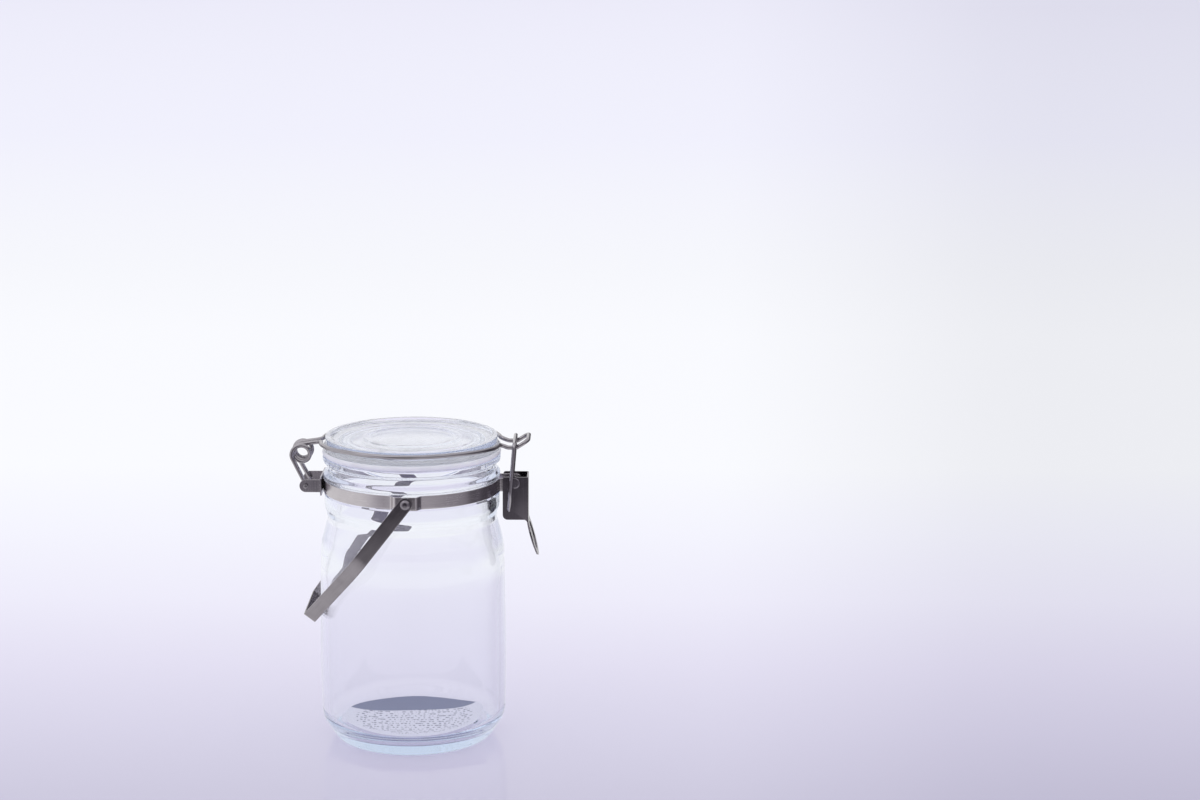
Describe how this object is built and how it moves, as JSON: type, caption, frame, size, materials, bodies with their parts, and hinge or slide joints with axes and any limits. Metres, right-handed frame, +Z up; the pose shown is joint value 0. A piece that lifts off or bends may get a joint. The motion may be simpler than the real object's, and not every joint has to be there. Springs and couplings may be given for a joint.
{
  "type": "preserving jar",
  "caption": "Round glass preserving jar with a hinged glass lid, a sealing ring, a wire lever clamp and a folding steel carry handle.",
  "frame": {"origin": "centre of the foot ring, on the surface the jar stands on", "axes": "+Z up along the jar's axis, +X towards the clamp, -X towards the lid's hinge, the handle's rivets on the Y axis"},
  "size_m": [0.1398, 0.1126, 0.1756],
  "materials": {
    "glass": "clear, smooth",
    "lid_glass": "clear, pressed",
    "gasket": "translucent white, matt",
    "wire": "drawn, bright",
    "steel": "satin",
    "paper": "printed paper, matt"
  },
  "bodies": {
    "jar": {"jar_glass": "glass", "neck_band": "steel", "hinge_bracket": "steel", "lever_pin": "steel", "handle_rivet_front": "steel", "handle_rivet_back": "steel", "leaflet": "paper"},
    "lid": {"lid_glass": "lid_glass", "gasket": "gasket", "lid_wire": "wire"},
    "lever": {"latch_lever": "steel"},
    "link": {"latch_link": "wire"},
    "handle": {"handle_strap": "steel"}
  },
  "joints": [
    {"name": "lid_hinge", "type": "hinge", "parent": "jar", "child": "lid", "pos_m": [-0.0589, 0, 0.148], "axis": [0, -1, 0], "range_deg": [0, 105]},
    {"name": "lever_swing", "type": "hinge", "parent": "jar", "child": "lever", "pos_m": [0.0582, 0, 0.1494], "axis": [0, -1, 0], "range_deg": [0, 110]},
    {"name": "link_swing", "type": "hinge", "parent": "lever", "child": "link", "pos_m": [0.055, 0, 0.1341], "axis": [0, 1, 0], "range_deg": [0, 67]},
    {"name": "handle_swing", "type": "hinge", "parent": "jar", "child": "handle", "pos_m": [0, 0, 0.148], "axis": [0, 1, 0], "range_deg": [0, 284]}
  ],
  "couplings": [
    {"joint": "link_swing", "follows": "lever_swing", "ratio": 0.605}
  ]
}
